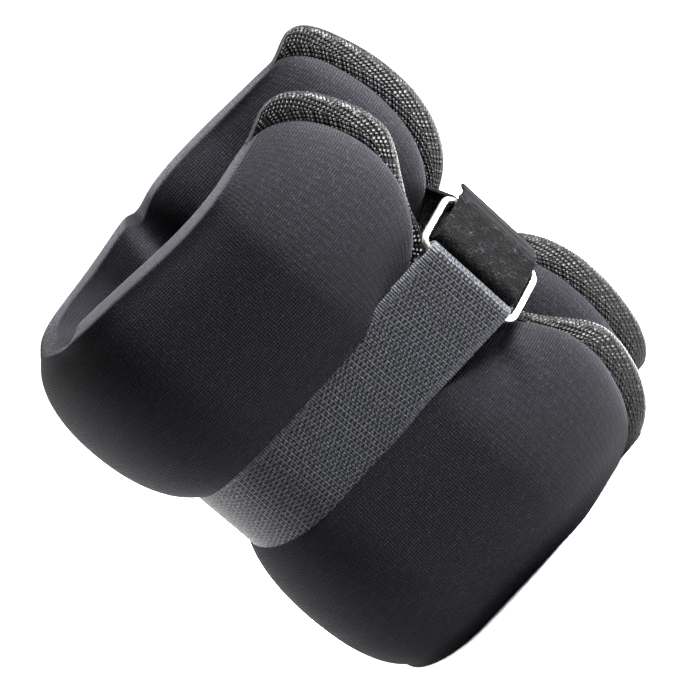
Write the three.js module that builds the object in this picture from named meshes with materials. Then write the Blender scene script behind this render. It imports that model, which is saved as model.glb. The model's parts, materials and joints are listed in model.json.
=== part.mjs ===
// Ankle cuff weight: a neoprene sleeve bent into an open C, with sand pouches in an upper and a
// lower row, bound ends, and a webbing strap round its waist. The strap's ring holds a loop strap
// that passes up through the ring, folds back over its far bar and ends in a hook tab.
//
// Millimetres. +Z runs along the limb and the cuff stands on its lower rim at z = 0.
// +X points to the closure, -Y to the front panel. The origin is under the middle of the cuff.
import * as THREE from "three";
import { mergeVertices } from "three/addons/utils/BufferGeometryUtils.js";

// ---- Driving dimensions ----
const cuffLength = 167; // X, from the bend to the back panel's bound edge
const cuffDepth = 113; // Y, over both panels
const cuffHeight = 182; // Z, rim to rim
const panelThickness = 45; // a filled lobe of the front or back panel
const bendThickness = 32; // a filled lobe where the sleeve turns the bend
const bendRadius = 30; // corner radius of the sleeve's middle surface
const creaseX = -18; // where the back panel folds when the cuff is opened
const creaseGap = 0.6;

const neopreneThickness = 3.5;
const waistThickness = 22; // of the panels under the strap
const waistBendThickness = 10; // of the bend under the strap
const rimFlatWidth = 14; // the squashed strip that each rim rests on

const strapWidth = 38;
const strapThickness = 1.8;
const strapEdgeGap = 0.6; // from each edge of the strap to the lobe beside it
const loopStrapThickness = 2.2;
const hookTabThickness = 1.4;
const hookTabMargin = 1; // beyond each edge of the loop strap
const hookTabLength = 27;
const hookTabFlare = 14; // degrees that the tab's free end curls outwards

const ringWire = 3;
const ringBarSpacing = 24; // between the axes of the two long bars
const ringStrapGap = 1; // from each edge of the strap to the short bar beside it
const ringCornerRadius = 3.5; // to the wire's axis
const ringAngle = 44; // degrees from +X of the line from the near bar to the far bar

const flangeLength = 9; // sewn edge that the binding covers
const flangeThickness = 5;
const bindingThickness = 1.1;
const frontSeamX = 37; // the front panel's end seam at the waist
const backSeamX = 48.4; // the back panel's end seam at the waist
const frontEndBulge = 23; // how far the lobes push the seam outwards
const frontRimShare = 0; // share of that push left at a rim
const backRimShare = 0.4;
const endTaper = 25; // length over which a panel thins to its seam
const seamDrift = 9; // how far a seam sits inwards of its panel's middle surface

const linerThickness = 0.9;
const pouchClearance = 0.6;
const pouchEndShare = 0.8; // a pouch's sealed ends against its full section
const seamMargin = 12; // from a panel's end seam to its pouch
const fillGap = 0.9; // from a pouch's liner to its sand
const touchGap = 0.3; // between pieces that touch

const leafLength = 8; // the webbing's sewn-back end, after its fold round the ring
const leafTurn = 20; // degrees by which that end leans back to the strap
const leafBend = 4;
const ringClearance = 2; // from the front binding to the ring's near bar
const strapTail = 2; // of the webbing past the back panel's full thickness
const loopTail = 16; // of the loop strap past the same place
const sideClearance = 1.2; // from the ring's far bar to the loop strap's free run
const tabClearance = 5.8; // from the far bar to the hook tab
const sideTurn = 18; // radius of the free run's turn onto the back panel
const cutAbove = 50; // from the far bar to where the loop strap's two pieces meet
const innerTurn = 10; // radius where the loop strap turns into the ring
const foldSlack = 0.6; // between the loop strap and the webbing inside the ring
const liftHeading = 70; // degrees from +X at which the strap leaves the far bar
const foldTail = 2;
const tabGap = 0.4; // from the loop strap's end to the hook tab
const tabTurn = 12; // radius where the tab straightens along +Y
const flareLength = 6; // of the tab's curled free end

const pouchRows = ["lower", "upper"];
const lobeSteps = 6; // section points over one lobe
const neoprene = { colour: 0x222326, roughness: 0.9 };
const tape = { colour: 0x1b1b1d, roughness: 0.6 };
const liner = { colour: 0xb9b6ac, roughness: 0.7 };
const sand = { colour: 0x4b4540, roughness: 1 };
const webbing = { colour: 0x4a4b4e, roughness: 0.85 };
const nickel = { colour: 0xd8d8d4, roughness: 0.2, metalness: 1 };
const loopPile = { colour: 0x141415, roughness: 1 };
const hookBack = { colour: 0x0c0c0d, roughness: 0.6 };

// ---- Sizes that follow ----
const middle = cuffHeight / 2;
const middleY = (cuffDepth - panelThickness) / 2;
const bendX = (bendThickness - cuffLength) / 2 + bendRadius;
const strapLow = middle - strapWidth / 2;
const lobeHalfHeight = (strapLow - strapEdgeGap) / 2;
const lobeCentres = { lower: lobeHalfHeight, upper: cuffHeight - lobeHalfHeight };
const lobePower = 2.6;
const backEndBulge = cuffLength / 2 - backSeamX - flangeLength - bindingThickness - touchGap;
const radians = THREE.MathUtils.degToRad;

const frontLine = frontSeamX - bendX;
const arcLength = (Math.PI / 2) * bendRadius;
const sideLine = 2 * (middleY - bendRadius);
const backStart = frontLine + 2 * arcLength + sideLine;
const creaseS = backStart + creaseX - bendX;
const endS = backStart + backSeamX - bendX;
const bendMiddleS = frontLine + arcLength + sideLine / 2;
const nearCornerS = frontLine + arcLength / 2;

// ---- The sleeve's middle surface and its thickness ----

/** Plan point of the middle surface at length s from the front seam, with its outward normal. */
function planAt(s) {
  const line = (x, y, nx, ny) => ({ x, y, nx, ny });
  const arc = (centreY, angle) => {
    const nx = Math.cos(angle);
    const ny = Math.sin(angle);
    return { x: bendX + bendRadius * nx, y: centreY + bendRadius * ny, nx, ny };
  };
  if (s <= frontLine) return line(frontSeamX - s, -middleY, 0, -1);
  if (s <= frontLine + arcLength) {
    return arc(bendRadius - middleY, -Math.PI / 2 - (s - frontLine) / bendRadius);
  }
  if (s <= frontLine + arcLength + sideLine) {
    return line(bendX - bendRadius, bendRadius - middleY + s - frontLine - arcLength, -1, 0);
  }
  if (s <= backStart) {
    return arc(middleY - bendRadius, Math.PI / 2 + (backStart - s) / bendRadius);
  }
  return line(bendX + s - backStart, middleY, 0, 1);
}

/** 1 in the middle of the bend, falling to 0 on the panels. */
function bendShare(s) {
  const reach = arcLength + sideLine / 2;
  return 1 - THREE.MathUtils.smoothstep(Math.abs(s - bendMiddleS), 0, reach);
}

/** Distance past the point where the nearer panel end starts to thin, as a share of the taper. */
function taperShare(s, inset) {
  const toSeam = Math.min(s, endS - s) - inset;
  return THREE.MathUtils.clamp(1 - toSeam / endTaper, 0, 1);
}

/** Half thickness of the sleeve at length s and height z, inset from its outer surface. */
function halfThickness(s, z, inset) {
  const bend = bendShare(s);
  const lobe = THREE.MathUtils.lerp(panelThickness, bendThickness, bend) / 2 - inset;
  const waist = THREE.MathUtils.lerp(waistThickness, waistBendThickness, bend) / 2 - inset;
  const rim = rimFlatWidth / 2 - inset;
  const centre = z < middle ? lobeCentres.lower : lobeCentres.upper;
  const u = Math.min(Math.abs(z - centre) / (lobeHalfHeight - inset), 1);
  const crown = lobe * (1 - u ** lobePower) ** (1 / lobePower);
  const nearWaist = Math.abs(z - middle) < Math.abs(z - centre);
  const full = Math.max(crown, nearWaist ? waist : rim);
  const flange = Math.max(flangeThickness / 2 - inset, pouchClearance);
  const taper = taperShare(s, inset);
  return THREE.MathUtils.lerp(flange, full, Math.sqrt(1 - taper * taper));
}

/** How far the filled lobes push the end seam outwards at height z. */
function endPush(z, bulge, rimShare) {
  const centre = z < middle ? lobeCentres.lower : lobeCentres.upper;
  const u = Math.min(Math.abs(z - centre) / lobeHalfHeight, 1);
  const towardsRim = Math.abs(z - middle) > Math.abs(centre - middle);
  const kept = towardsRim ? rimShare : 0;
  return bulge * (kept + (1 - kept) * Math.sqrt(1 - u * u));
}

/** Point of the sleeve at length s, height z and distance n outwards of its middle surface. */
function sleevePoint(s, n, z) {
  const plan = planAt(THREE.MathUtils.clamp(s, 0, endS));
  const atFront = s < bendMiddleS;
  const past = atFront ? Math.max(-s, 0) : Math.max(s - endS, 0);
  const nearEnd = THREE.MathUtils.smoothstep(taperShare(s, 0), 0, 1);
  const push = atFront
    ? endPush(z, frontEndBulge, frontRimShare)
    : endPush(z, backEndBulge, backRimShare);
  const along = past + nearEnd * push;
  const offset = n - seamDrift * nearEnd;
  return new THREE.Vector3(plan.x + along + offset * plan.nx, plan.y + offset * plan.ny, z);
}

// ---- Solids ----

/** Closed solid skinned over rings of points. Each end ring is closed by rungs across it. */
function skin(rings, closedLoop = false) {
  const size = rings[0].length;
  const index = [];
  const quad = (a, b, c, d) => index.push(a, b, c, a, c, d);
  const spans = closedLoop ? rings.length : rings.length - 1;
  for (let i = 0; i < spans; i++) {
    const here = i * size;
    const next = ((i + 1) % rings.length) * size;
    for (let j = 0; j < size; j++) {
      const k = (j + 1) % size;
      quad(here + j, here + k, next + k, next + j);
    }
  }
  if (!closedLoop) {
    const end = (rings.length - 1) * size;
    for (let j = 0; j + 1 < size / 2; j++) {
      const across = size - 1 - j;
      quad(across, across - 1, j + 1, j);
      quad(end + j, end + j + 1, end + across - 1, end + across);
    }
  }
  const geometry = new THREE.BufferGeometry();
  const positions = rings.flat().flatMap((point) => [point.x, point.y, point.z]);
  geometry.setAttribute("position", new THREE.Float32BufferAttribute(positions, 3));
  geometry.setIndex(index);
  return faceOutward(geometry);
}

/** Turns every face over if the solid is inside out. */
function faceOutward(geometry) {
  const merged = mergeVertices(geometry, 1e-4);
  const position = merged.getAttribute("position");
  const index = merged.getIndex();
  const corner = (i) => new THREE.Vector3().fromBufferAttribute(position, index.getX(i));
  let volume = 0;
  for (let i = 0; i < index.count; i += 3) {
    volume += corner(i).dot(corner(i + 1).cross(corner(i + 2)));
  }
  if (volume < 0) {
    index.array.reverse();
  }
  merged.computeVertexNormals();
  return merged;
}

/** Evenly spaced values from a to b, both included. */
function spread(a, b, steps) {
  return Array.from({ length: steps + 1 }, (_, i) => a + ((b - a) * i) / steps);
}

/** Heights of one lobe's section points, closer together at its two ends. */
function lobeHeights(row, inset) {
  return spread(0, Math.PI, lobeSteps).map(
    (angle) => lobeCentres[row] - (lobeHalfHeight - inset) * Math.cos(angle),
  );
}

/** Section ring of the sleeve at length s: up its outer side and down its inner side. */
function sleeveRing(s, heights, inset) {
  const outer = heights.map((z) => sleevePoint(s, halfThickness(s, z, inset), z));
  const inner = heights.map((z) => sleevePoint(s, -halfThickness(s, z, inset), z));
  return [...outer, ...inner.reverse()];
}

/** Neoprene tube over both rows of lobes, closed at its seam and open at the crease. */
function coverShell(outerStations, innerStations) {
  const heights = (inset) => pouchRows.flatMap((row) => lobeHeights(row, inset));
  const ring = (inset) => (s) => sleeveRing(s, heights(inset), inset);
  return skin([
    ...outerStations.map(ring(0)),
    ...innerStations.toReversed().map(ring(neopreneThickness)),
  ]);
}

/** Ribbon of constant height whose plan stations hold a centre point and a normal. */
function ribbon(stations, thickness, low, high) {
  const half = thickness / 2;
  const corner = (station, side, z) =>
    new THREE.Vector3(station.x + side * station.nx, station.y + side * station.ny, z);
  return skin(
    stations.map((station) => [
      corner(station, half, low),
      corner(station, half, high),
      corner(station, -half, high),
      corner(station, -half, low),
    ]),
  );
}

/** A plan route drawn by going ahead and turning; a positive turn is to the left. */
class Route {
  constructor(x, y, headingDegrees) {
    this.x = x;
    this.y = y;
    this.heading = radians(headingDegrees);
    this.stations = [];
    this.mark();
  }

  mark() {
    const nx = Math.sin(this.heading);
    const ny = -Math.cos(this.heading);
    this.stations.push({ x: this.x, y: this.y, nx, ny });
    return this;
  }

  ahead(length) {
    this.x += length * Math.cos(this.heading);
    this.y += length * Math.sin(this.heading);
    return this.mark();
  }

  turn(radius, degrees, steps) {
    const side = Math.sign(degrees);
    const centreX = this.x - side * radius * Math.sin(this.heading);
    const centreY = this.y + side * radius * Math.cos(this.heading);
    const start = this.heading;
    for (let i = 1; i <= steps; i++) {
      this.heading = start + (radians(degrees) * i) / steps;
      this.x = centreX + side * radius * Math.sin(this.heading);
      this.y = centreY - side * radius * Math.cos(this.heading);
      this.mark();
    }
    return this;
  }
}

const cuff = new THREE.Group();

/** Adds one named mesh with its own material to the cuff. */
function addPiece(name, geometry, { colour, roughness, metalness = 0 }) {
  const material = new THREE.MeshStandardMaterial({ color: colour, roughness, metalness });
  const mesh = new THREE.Mesh(geometry, material);
  mesh.name = name;
  cuff.add(mesh);
}

// ---- Neoprene covers ----
const flangeS = -flangeLength;
const taperS = spread(0, 1, 5).map((share) => endTaper * share * share);
const cornerStations = [
  ...spread(frontLine, frontLine + arcLength, 4),
  ...spread(frontLine + arcLength + sideLine, backStart, 4),
];
const frontCreaseS = creaseS - creaseGap / 2;
const backCreaseS = creaseS + creaseGap / 2;
const liningTaperS = taperS.map((s) => s + neopreneThickness);
const frontLining = [...liningTaperS, ...cornerStations, frontCreaseS];
const backLining = [...liningTaperS.map((s) => endS - s), backCreaseS];
addPiece(
  "cover_front",
  coverShell([flangeS, ...taperS, ...cornerStations, frontCreaseS], frontLining),
  neoprene,
);
addPiece(
  "cover_back",
  coverShell([endS - flangeS, ...taperS.map((s) => endS - s), backCreaseS], backLining),
  neoprene,
);

// ---- Sand pouches ----

/** Rings of one pouch over its stations, pulled in at both of its ends. */
function pouchRings(row, stations, inset) {
  const heights = lobeHeights(row, inset);
  return stations.map((s, i) => {
    const ring = sleeveRing(s, heights, inset);
    const share = i === 0 || i === stations.length - 1 ? pouchEndShare : 1;
    const centre = sleevePoint(s, 0, lobeCentres[row]);
    return ring.map((point) => point.lerp(centre, 1 - share));
  });
}

const pouchInset = neopreneThickness + pouchClearance;
const fillInset = pouchInset + linerThickness + fillGap;
const pouchSpans = {
  front: [seamMargin, nearCornerS - pouchClearance],
  bend: [nearCornerS + pouchClearance, frontCreaseS - pouchClearance],
  back: [backCreaseS + pouchClearance, endS - seamMargin],
};

/** The lining's stations between a start and an end, which are both included. */
function stationsBetween(start, end) {
  const between = [...frontLining, ...backLining].filter((s) => s > start + 1 && s < end - 1);
  return [start, ...between.sort((a, b) => a - b), end];
}

for (const row of pouchRows) {
  for (const [panel, [start, end]] of Object.entries(pouchSpans)) {
    const wall = linerThickness + fillGap;
    const outside = stationsBetween(start, end);
    const inside = stationsBetween(start + linerThickness, end);
    const filled = stationsBetween(start + wall, end - wall);
    addPiece(
      `pouch_${panel}_${row}`,
      skin([
        ...pouchRings(row, outside, pouchInset),
        ...pouchRings(row, inside, pouchInset + linerThickness).reverse(),
      ]),
      liner,
    );
    addPiece(`sand_${panel}_${row}`, skin(pouchRings(row, filled, fillInset)), sand);
  }
}

// ---- Bindings on the two ends ----

/**
 * Folded tape over an end seam's flange: a U in plan, swept from the lower to the upper rim.
 * The U's inner corners are doubled so that each outer point has an inner one across from it.
 */
function binding(atFront) {
  const inner = flangeThickness / 2 + touchGap;
  const outer = inner + bindingThickness;
  const edge = flangeLength + touchGap;
  const foldTip = edge + bindingThickness;
  const root = pouchClearance;
  const outline = [
    [root, outer],
    [edge, outer],
    [foldTip, inner],
    [foldTip, -inner],
    [edge, -outer],
    [root, -outer],
    [root, -inner],
    [edge, -inner],
    [edge, -inner],
    [edge, inner],
    [edge, inner],
    [root, inner],
  ];
  const heights = pouchRows.flatMap((row) => lobeHeights(row, 0));
  return skin(
    heights.map((z) =>
      outline.map(([reach, n]) => sleevePoint(atFront ? -reach : endS + reach, n, z)),
    ),
  );
}
addPiece("binding_front", binding(true), tape);
addPiece("binding_back", binding(false), tape);

// ---- Webbing strap round the waist ----

/** Plan station on the outside of the waist, with layers already under it. */
function waistStation(s, rise) {
  const { nx, ny } = planAt(s);
  const n = halfThickness(s, middle, 0) + rise;
  const point = sleevePoint(s, n, middle);
  return { x: point.x, y: point.y, nx, ny };
}

const strapRise = touchGap + strapThickness / 2;
const strapLineY = -(middleY + waistThickness / 2 + strapRise);
const nearBarRadius = ringWire / 2 + touchGap + strapThickness / 2;
const nearBar = {
  x: frontSeamX + flangeLength + bindingThickness + ringClearance,
  y: strapLineY + nearBarRadius,
};
const leafSine = Math.sin(radians(leafTurn));
const leafDrop = 2 * nearBarRadius - strapThickness - touchGap;
const leafLean = (nearBarRadius + leafBend) * (1 - Math.cos(radians(leafTurn)));
const frontRun = new Route(frontSeamX - endTaper, strapLineY, 0)
  .ahead(nearBar.x - frontSeamX + endTaper)
  .turn(nearBarRadius, 180 + leafTurn, 10)
  .ahead((leafDrop - leafLean) / leafSine)
  .turn(leafBend, -leafTurn, 2)
  .ahead(leafLength);
const strapHeights = [strapLow, strapLow + strapWidth];
const waistRun = [frontCreaseS, ...cornerStations.toReversed(), endTaper + leafBend];
const waistStations = waistRun.map((s) => waistStation(s, strapRise));
addPiece(
  "strap_front",
  ribbon([...waistStations, ...frontRun.stations], strapThickness, ...strapHeights),
  webbing,
);
const strapBackRun = [backCreaseS, endS - endTaper, endS - endTaper + strapTail];
addPiece(
  "strap_back",
  ribbon(strapBackRun.map((s) => waistStation(s, strapRise)), strapThickness, ...strapHeights),
  webbing,
);

// ---- Wire ring ----
const ringTurn = radians(ringAngle);
const along = { x: Math.cos(ringTurn), y: Math.sin(ringTurn) };
const outwards = { x: along.y, y: -along.x };

/** Plan point beside the ring: a distance from the near bar, and one out of the ring's plane. */
function besideRing(distance, out) {
  return {
    x: nearBar.x + distance * along.x + out * outwards.x,
    y: nearBar.y + distance * along.y + out * outwards.y,
  };
}

const farBar = besideRing(ringBarSpacing, 0);
const ringBarLength = strapWidth + 2 * ringStrapGap + ringWire;

/** Rings of wire round the four corners; the straight bars span from corner to corner. */
function wireRing() {
  const halfLong = ringBarLength / 2 - ringCornerRadius;
  const corners = [
    [ringBarSpacing - ringCornerRadius, halfLong, 0],
    [ringCornerRadius, halfLong, 90],
    [ringCornerRadius, -halfLong, 180],
    [ringBarSpacing - ringCornerRadius, -halfLong, 270],
  ];
  const rings = corners.flatMap(([distance, height, startAngle]) =>
    spread(startAngle, startAngle + 90, 5).map((angle) =>
      spread(0, 330, 11).map((around) => {
        const reach = ringCornerRadius + (ringWire / 2) * Math.cos(radians(around));
        const out = (ringWire / 2) * Math.sin(radians(around));
        const plan = besideRing(distance + reach * Math.cos(radians(angle)), out);
        const z = middle + height + reach * Math.sin(radians(angle));
        return new THREE.Vector3(plan.x, plan.y, z);
      }),
    ),
  );
  return skin(rings, true);
}
addPiece("ring", wireRing(), nickel);

// ---- Loop strap through the ring ----
const loopRise = strapRise + strapThickness / 2 + touchGap + loopStrapThickness / 2;
const loopStart = waistStation(endS - endTaper - loopTail, loopRise);
const sideX = farBar.x + sideClearance;
const passOffset = ringWire / 2 + touchGap + loopStrapThickness / 2;
const cutY = farBar.y + cutAbove;
const underBar = besideRing(ringBarSpacing, -passOffset);
const turnBack = 90 - ringAngle;
const reachToSide = (sideX - underBar.x) / along.x;
const bendReach = innerTurn * Math.tan(radians(turnBack / 2));
const sideEndY = underBar.y + reachToSide * along.y + bendReach;
const sideRun = new Route(loopStart.x, loopStart.y, 0)
  .ahead(sideX - sideTurn - loopStart.x)
  .turn(sideTurn, -90, 6)
  .ahead(loopStart.y - sideTurn - cutY - touchGap);
addPiece(
  "loop_strap_back",
  ribbon(sideRun.stations, loopStrapThickness, ...strapHeights),
  loopPile,
);

const webbingLoop = nearBarRadius + strapThickness / 2;
const foldCentre = webbingLoop + touchGap + passOffset + loopStrapThickness / 2 + foldSlack;
const foldRun = new Route(sideX, cutY - touchGap, -90)
  .ahead(cutY - touchGap - sideEndY)
  .turn(innerTurn, -turnBack, 4)
  .ahead(reachToSide - bendReach + ringBarSpacing - foldCentre)
  .turn(passOffset, 180, 8)
  .ahead(ringBarSpacing - foldCentre)
  .turn(passOffset, liftHeading - ringAngle, 2)
  .ahead(foldTail);
addPiece(
  "loop_strap_fold",
  ribbon(foldRun.stations, loopStrapThickness, ...strapHeights),
  loopPile,
);

// ---- Hook tab ----
const tabX = farBar.x + tabClearance;
const tabRun = new Route(foldRun.x, foldRun.y, liftHeading).ahead(tabGap);
const tabTurnSide = tabTurn * (1 - Math.sin(radians(liftHeading)));
const tabStraight = (tabX - tabRun.x - tabTurnSide) / Math.cos(radians(liftHeading));
tabRun.stations = [];
tabRun
  .mark()
  .ahead(tabStraight)
  .turn(tabTurn, 90 - liftHeading, 3)
  .ahead(hookTabLength - tabStraight - radians(90 - liftHeading) * tabTurn - flareLength)
  .turn(flareLength / radians(hookTabFlare), -hookTabFlare, 3);
addPiece(
  "hook_tab",
  ribbon(
    tabRun.stations,
    hookTabThickness,
    strapLow - hookTabMargin,
    strapLow + strapWidth + hookTabMargin,
  ),
  hookBack,
);

export default cuff;
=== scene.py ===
"""Ankle cuff weight: the looks of a neoprene sleeve, its webbing strap, wire ring and closure.

Everything is in metres. +Z runs along the limb, +X points to the closure and -Y to the front.
"""

import json
import logging
import math
from dataclasses import dataclass, field
from enum import Enum
from typing import Callable, Sequence

import bpy
import numpy as np
from mathutils import Matrix, Vector

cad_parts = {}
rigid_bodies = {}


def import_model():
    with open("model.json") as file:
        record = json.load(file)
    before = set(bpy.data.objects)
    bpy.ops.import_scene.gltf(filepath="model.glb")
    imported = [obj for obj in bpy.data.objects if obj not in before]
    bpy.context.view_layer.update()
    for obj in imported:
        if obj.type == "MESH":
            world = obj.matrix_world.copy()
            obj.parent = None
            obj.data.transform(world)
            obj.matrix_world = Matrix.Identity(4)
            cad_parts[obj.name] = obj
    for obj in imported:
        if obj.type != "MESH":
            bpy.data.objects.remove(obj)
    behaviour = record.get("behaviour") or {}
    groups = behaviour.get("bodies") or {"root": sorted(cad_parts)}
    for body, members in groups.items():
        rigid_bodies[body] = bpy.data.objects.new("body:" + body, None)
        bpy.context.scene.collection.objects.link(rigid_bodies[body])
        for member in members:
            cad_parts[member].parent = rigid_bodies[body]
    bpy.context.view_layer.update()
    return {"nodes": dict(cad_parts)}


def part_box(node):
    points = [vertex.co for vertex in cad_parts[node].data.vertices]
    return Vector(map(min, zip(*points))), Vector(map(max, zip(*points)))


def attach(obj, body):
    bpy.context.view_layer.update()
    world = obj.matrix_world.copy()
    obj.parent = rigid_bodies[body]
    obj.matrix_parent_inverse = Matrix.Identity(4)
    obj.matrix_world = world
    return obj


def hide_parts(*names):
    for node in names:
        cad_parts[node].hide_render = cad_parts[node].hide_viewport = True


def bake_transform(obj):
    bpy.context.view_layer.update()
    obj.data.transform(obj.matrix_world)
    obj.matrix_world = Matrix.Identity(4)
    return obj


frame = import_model()
LOG = logging.getLogger("ankle_cuff")
MM = 0.001


# ---- Colours and nodes ----


def linear_rgba(hex_colour: str) -> tuple[float, float, float, float]:
    """Turns an sRGB hex colour into linear RGBA.

    Args:
        hex_colour: Six hex digits, such as "1B1C1F".

    Returns:
        Red, green, blue and alpha from 0 to 1.
    """
    channels = [int(hex_colour[i : i + 2], 16) / 255 for i in (0, 2, 4)]
    linear = [c / 12.92 if c <= 0.04045 else ((c + 0.055) / 1.055) ** 2.4 for c in channels]
    return (linear[0], linear[1], linear[2], 1.0)


def add_node(
    material: bpy.types.Material,
    label: str,
    kind: str,
    settings: dict[str, object],
    inputs: dict[str | int, object],
) -> bpy.types.Node:
    """Adds one shader node with its settings and its links.

    Args:
        material: The material that gets the node.
        label: The node's name in the material.
        kind: The node's type without "ShaderNode", such as "Math".
        settings: Values for the node's own properties.
        inputs: For each named or numbered input, a value, or "label:output" to link it.

    Returns:
        The new node.
    """
    tree = material.node_tree
    node = tree.nodes.new("ShaderNode" + kind)
    node.name = label
    for name, value in settings.items():
        setattr(node, name, value)
    for key, value in inputs.items():
        if isinstance(value, str):
            source, output = value.split(":")
            sockets = tree.nodes[source].outputs
            socket = sockets[int(output)] if output.isdigit() else sockets[output]
            tree.links.new(socket, node.inputs[key])
        else:
            node.inputs[key].default_value = value
    return node


def make_material(
    name: str,
    nodes: Sequence[tuple],
    tone: tuple[str, str, str],
    relief: str,
    depth: float,
    shader: dict[str, object],
) -> bpy.types.Material:
    """Builds a material from its nodes, mixes its colour and ends it in one shader.

    Args:
        name: The material's name, which says what it is and how it was made.
        nodes: Label, kind, settings and inputs of each node in turn. A step of arithmetic is
            shorter: its label, its operation in capitals and its terms.
        tone: The "label:output" that the colour follows, then its low and high colours, each
            an sRGB hex value or a "label:output".
        relief: The "label:output" that holds the relief from 0 to 1.
        depth: The relief's height in metres.
        shader: The Principled shader's inputs.

    Returns:
        The material.
    """
    material = bpy.data.materials.new(name)
    material.use_nodes = True
    material.node_tree.nodes.clear()
    for label, kind, *rest in nodes:
        if kind.isupper():
            add_node(material, label, "Math", {"operation": kind}, dict(enumerate(rest)))
        else:
            add_node(material, label, kind, *rest)
    low, high = (end if ":" in end else linear_rgba(end) for end in tone[1:])
    add_node(material, "colour", "Mix", COLOUR_MIX, {0: tone[0], 6: low, 7: high})
    bump = {"Strength": 1.0, "Distance": depth, "Height": relief}
    add_node(material, "bump", "Bump", {}, bump)
    links = {"Base Color": "colour:2", "Normal": "bump:0"}
    add_node(material, "surface", "BsdfPrincipled", {}, {**shader, **links})
    add_node(material, "end", "OutputMaterial", {}, {"Surface": "surface:0"})
    return material


SMOOTH = {"interpolation_type": "SMOOTHSTEP"}
COLOUR_MIX = {"data_type": "RGBA"}
TURN = 2 * math.pi
THREAD_PLANE = (
    ("coords", "TexCoord", {}, {}),
    ("plane", "SeparateXYZ", {}, {0: "coords:UV"}),
)


# ---- Finishes ----


@dataclass(frozen=True)
class NeopreneJersey:
    """Nylon jersey bonded to neoprene foam: matt, with fine ribs that run round the cuff."""

    shade: str = "020203"
    lit: str = "141418"
    rib: float = 0.95 * MM  # the knit is nearer 0.7 mm, drawn coarser so that it shows
    wale: float = 1.1 * MM
    fuzz: float = 2 / 3 * MM  # size of a tuft
    lint: float = 0.5 * MM
    relief: float = 0.22 * MM

    def build(self) -> bpy.types.Material:
        """Returns the material."""
        nodes = (
            *THREAD_PLANE,
            ("rib_turns", "MULTIPLY", "plane:1", TURN / self.rib),
            ("ribs", "SINE", "rib_turns:0"),
            ("wale_turns", "MULTIPLY", "plane:0", TURN / self.wale),
            ("wales", "SINE", "wale_turns:0"),
            ("crossing", "MULTIPLY_ADD", "wales:0", 0.3, "ribs:0"),
            ("fuzz", "TexNoise", {}, {0: "coords:Object", "Scale": 1 / self.fuzz, "Detail": 3.0}),
            ("knit", "MULTIPLY_ADD", "crossing:0", 0.30, "fuzz:0"),
            ("lint", "TexNoise", {}, {0: "coords:Object", "Scale": 1 / self.lint, "Detail": 1.0}),
            ("flecks", "MapRange", SMOOTH, {0: "lint:0", 1: 0.50, 2: 0.80}),
            ("tone", "MULTIPLY_ADD", "crossing:0", 0.22, "flecks:0"),
        )
        shader = {
            "Roughness": 0.85,
            "IOR": 1.5,
            "Specular IOR Level": 0.03,
            "Sheen Weight": 0.03,
            "Sheen Roughness": 0.3,
            "Sheen Tint": linear_rgba("CFD1DA"),
        }
        tone = ("tone:0", self.shade, self.lit)
        return make_material(
            "neoprene_nylon_jersey_knitted", nodes, tone, "knit:0", self.relief, shader
        )


@dataclass(frozen=True)
class Webbing:
    """Nylon webbing: fine upright yarns, rows of small dark gaps, and a ribbed edge each side."""

    gap: str = "020203"
    yarn: str = "232428"
    pitch: float = 1.0 * MM  # the yarns are nearer 0.7 mm, drawn coarser so that they show
    gap_along: float = 4.2 * MM
    gap_across: float = 1.75 * MM
    body_half: float = 15.6 * MM  # half the width between the ribbed edges
    uneven: float = 10 / 7 * MM  # length over which a yarn's shade changes
    relief: float = 0.45 * MM

    def build(self) -> bpy.types.Material:
        """Returns the material."""
        nodes = (
            *THREAD_PLANE,
            ("yarn_turns", "MULTIPLY", "plane:0", TURN / self.pitch),
            ("yarns", "SINE", "yarn_turns:0"),
            ("columns", "MULTIPLY", "plane:0", math.pi / self.gap_along),
            ("rows", "MULTIPLY", "plane:1", math.pi / self.gap_across),
            ("rising", "ADD", "columns:0", "rows:0"),
            ("falling", "SUBTRACT", "columns:0", "rows:0"),
            ("up", "SINE", "rising:0"),
            ("down", "SINE", "falling:0"),
            ("lattice", "MULTIPLY", "up:0", "down:0"),
            ("cells", "ABSOLUTE", "lattice:0"),
            ("gaps", "MapRange", SMOOTH, {0: "cells:0", 1: 0.30, 2: 0.80}),
            ("off_centre", "ABSOLUTE", "plane:1"),
            (
                "body",
                "MapRange",
                SMOOTH,
                {0: "off_centre:0", 1: self.body_half + 0.3 * MM, 2: self.body_half},
            ),
            ("open_gaps", "MULTIPLY", "gaps:0", "body:0"),
            ("yarn_tone", "MapRange", SMOOTH, {0: "yarns:0", 1: -0.9, 2: 0.4, 3: 0.35, 4: 1.0}),
            ("closed", "MULTIPLY_ADD", "open_gaps:0", -1.0, 1.0),
            ("weave", "MULTIPLY", "yarn_tone:0", "closed:0"),
            ("uneven", "TexNoise", {}, {0: "coords:Object", "Scale": 1 / self.uneven, "Detail": 3.0}),
            ("spread", "MapRange", SMOOTH, {0: "uneven:0", 1: 0.3, 2: 0.75, 3: 0.35, 4: 1.3}),
            ("tone", "MULTIPLY", "weave:0", "spread:0"),
        )
        shader = {
            "Roughness": 0.5,
            "IOR": 1.53,
            "Specular IOR Level": 0.04,
            "Sheen Weight": 0.01,
            "Sheen Roughness": 0.3,
        }
        tone = ("tone:0", self.gap, self.yarn)
        return make_material("nylon_webbing_woven", nodes, tone, "tone:0", self.relief, shader)


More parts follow.
